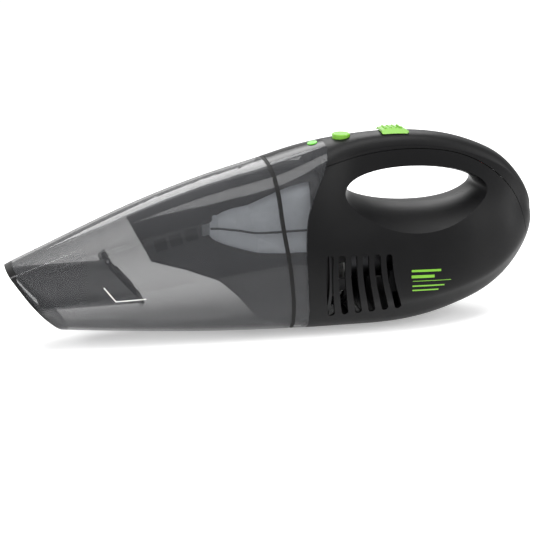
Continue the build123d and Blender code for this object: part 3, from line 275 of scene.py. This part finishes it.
# the painted shade along the mouth's edge widens between two heights: low, high, narrow and wide,
# in metres
MOUTH_SHADE_WIDTHS = (54 * MM, 62 * MM, 1.2 * MM, 5 * MM)
# the black of the painted shade on the mouth's edge
MOUTH_SHADE_BLACK = (0.003, 0.003, 0.003, 1)
SLOTS = {
    # the clear bowl gets a painted dark band along its mouth's edge
    "smoky_clear": paint_mouth_edge_shade(
        tinted_clear("smoky_clear", (0.038, 0.039, 0.042), 0.38, 0.86, 0.07, 0.45)
    ),
    "smoky_dark": tinted_clear("smoky_dark", (0.042, 0.043, 0.046), 0.88, 0.98, 0.2, 0.3),
    "satin_black": moulded("satin_black", (0.0022, 0.0022, 0.0025), 0.42, 0.2, 0.0, 0.15),
    "gloss_black": moulded("gloss_black", (0.002, 0.002, 0.0024), 0.14, 0.03, 0.0, 0.12),
    "lime": moulded("lime", (0.14, 0.36, 0.022), 0.34, 0.12, 0.1, 0.35),
    "black_rubber": moulded("black_rubber", (0.006, 0.006, 0.006), 0.62, 0.4, 0.0, 0.2),
    "grey_plastic": moulded("grey_plastic", (0.012, 0.012, 0.013), 0.5, 0.2, 0.0, 0.25),
    "dark_steel": metal("dark_steel", (0.05, 0.05, 0.053), 0.4, (1, 12, 12)),
    "white_plastic": moulded("white_plastic", (0.66, 0.66, 0.64), 0.45, 0.15),
    "filter_cloth": cloth("filter_cloth", (0.84, 0.89, 0.95)),
    "screen": woven_screen("screen", (0.006, 0.006, 0.006)),
    "steel": metal("steel", (0.58, 0.58, 0.60), 0.32, (1, 12, 12)),
    "spring_steel": metal("spring_steel", (0.68, 0.68, 0.70), 0.22),
    "bronze": metal("bronze", (0.55, 0.37, 0.18), 0.5),
    "brass": metal("brass", (0.78, 0.58, 0.25), 0.3),
    "copper": metal("copper", (0.62, 0.26, 0.10), 0.35, (1, 20, 20)),
    "magnet": metal("magnet", (0.09, 0.09, 0.10), 0.7),
    "cell_wrap": moulded("cell_wrap", (0.02, 0.16, 0.36), 0.28, 0.05, 0.3),
    "nickel": metal("nickel", (0.70, 0.69, 0.64), 0.3, (10, 1, 1)),
    "board": moulded("board", (0.02, 0.13, 0.05), 0.4, 0.3, 0.2),
    "led_green": glowing("led_green", (0.13, 0.50, 0.05), 0.25),
    "wire_red": moulded("wire_red", (0.42, 0.015, 0.012), 0.45, 0.1),
}


def dress(obj, material):
    """Gives an object this material only."""
    obj.data.materials.clear()
    obj.data.materials.append(material)


for row in frame["record"]["subparts"]:
    dress(nodes[row["node"]], SLOTS[row["material_slot"]])


# ---- printed marks on the near side ----
PRINT_LIFT, PRINT_STEP = 0.12 * MM, 1.5 * MM
RAY_START = 0.3  # metres from the middle, outside the object


def surface_of(*names):
    """A search tree over the named CAD nodes' meshes."""
    points, faces = [], []
    for name in names:
        mesh = nodes[name].data
        start = len(points)
        points += [v.co.copy() for v in mesh.vertices]
        faces += [[start + i for i in p.vertices] for p in mesh.polygons]
    return BVHTree.FromPolygons(points, faces)


def on_near_side(tree, x, z):
    """The point of the near outer surface at (x, z), just proud of it."""
    hit, normal, _, _ = tree.ray_cast(Vector((x, -RAY_START, z)), Vector((0, 1, 0)))
    if normal.y > 0:
        normal = -normal
    return hit + normal * PRINT_LIFT


def printed_line(name, tree, route, width, body, material):
    """A thin printed band that follows a route of (x, z) corners over the near surface."""
    mesh = bmesh.new()
    for (x0, z0), (x1, z1) in zip(route, route[1:]):
        length = math.hypot(x1 - x0, z1 - z0)
        across = (-(z1 - z0) / length * width / 2, (x1 - x0) / length * width / 2)
        steps = max(2, math.ceil(length / PRINT_STEP))
        before = None
        for i in range(steps + 1):
            # both ends run on by half a width, so that corners close
            t = -width / 2 / length + (1 + width / length) * i / steps
            x, z = x0 + (x1 - x0) * t, z0 + (z1 - z0) * t
            pair = [
                mesh.verts.new(on_near_side(tree, x + across[0] * k, z + across[1] * k))
                for k in (1, -1)
            ]
            if before:
                mesh.faces.new((before[0], before[1], pair[1], pair[0]))
            before = pair
    data = bpy.data.meshes.new(name)
    mesh.to_mesh(data)
    mesh.free()
    band = bpy.data.objects.new(name, data)
    bpy.context.scene.collection.objects.link(band)
    dress(band, material)
    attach(band, body)


# the white mark of the highest fill, as (x, z) corners and a width, in mm
bowl_surface = surface_of("dust_bowl")
FILL_WIDTH = 0.8
FILL_MARK = ((-140.5, 51), (-132.6, 41), (-110.8, 42.3))
printed_line(
    "fill_mark",
    bowl_surface,
    [(x * MM, z * MM) for x, z in FILL_MARK],
    FILL_WIDTH * MM,
    "bowl",
    SLOTS["white_plastic"],
)

# plain bars in place of printed words: (height, length, thickness), in mm
PRINT_X = 95.5
PRINT_BARS = ((51.2, 23, 1.7), (46.8, 17, 2.2), (43.4, 32, 0.45), (39.6, 26, 1.1), (36.2, 21, 1.1))
PRINT_SLOPE = -0.06  # the rows run down a little towards the tail
housing_surface = surface_of("housing_left")
for i, (height, length, thickness) in enumerate(PRINT_BARS):
    end_x, end_z = PRINT_X + length, height + PRINT_SLOPE * length
    printed_line(
        f"print_bar_{i + 1}",
        housing_surface,
        [(PRINT_X * MM, height * MM), (end_x * MM, end_z * MM)],
        thickness * MM,
        "body",
        SLOTS["lime"],
    )

# ---- floor ----
FLOOR_HALF = 4.0
floor_mesh = bmesh.new()
bmesh.ops.create_grid(floor_mesh, x_segments=2, y_segments=2, size=FLOOR_HALF)
floor_data = bpy.data.meshes.new("floor")
floor_mesh.to_mesh(floor_data)
floor_mesh.free()
floor = bpy.data.objects.new("floor", floor_data)
bpy.context.scene.collection.objects.link(floor)
floor_look = Nodes("floor_look").set(roughness=0.7, emission_strength=0.34)
floor_look.shader.inputs["Emission Color"].default_value = PAPER_WHITE
floor_look.tint(floor_look.noise(3), (0.84, 0.84, 0.84), (0.88, 0.88, 0.88))
dress(floor, floor_look.material)
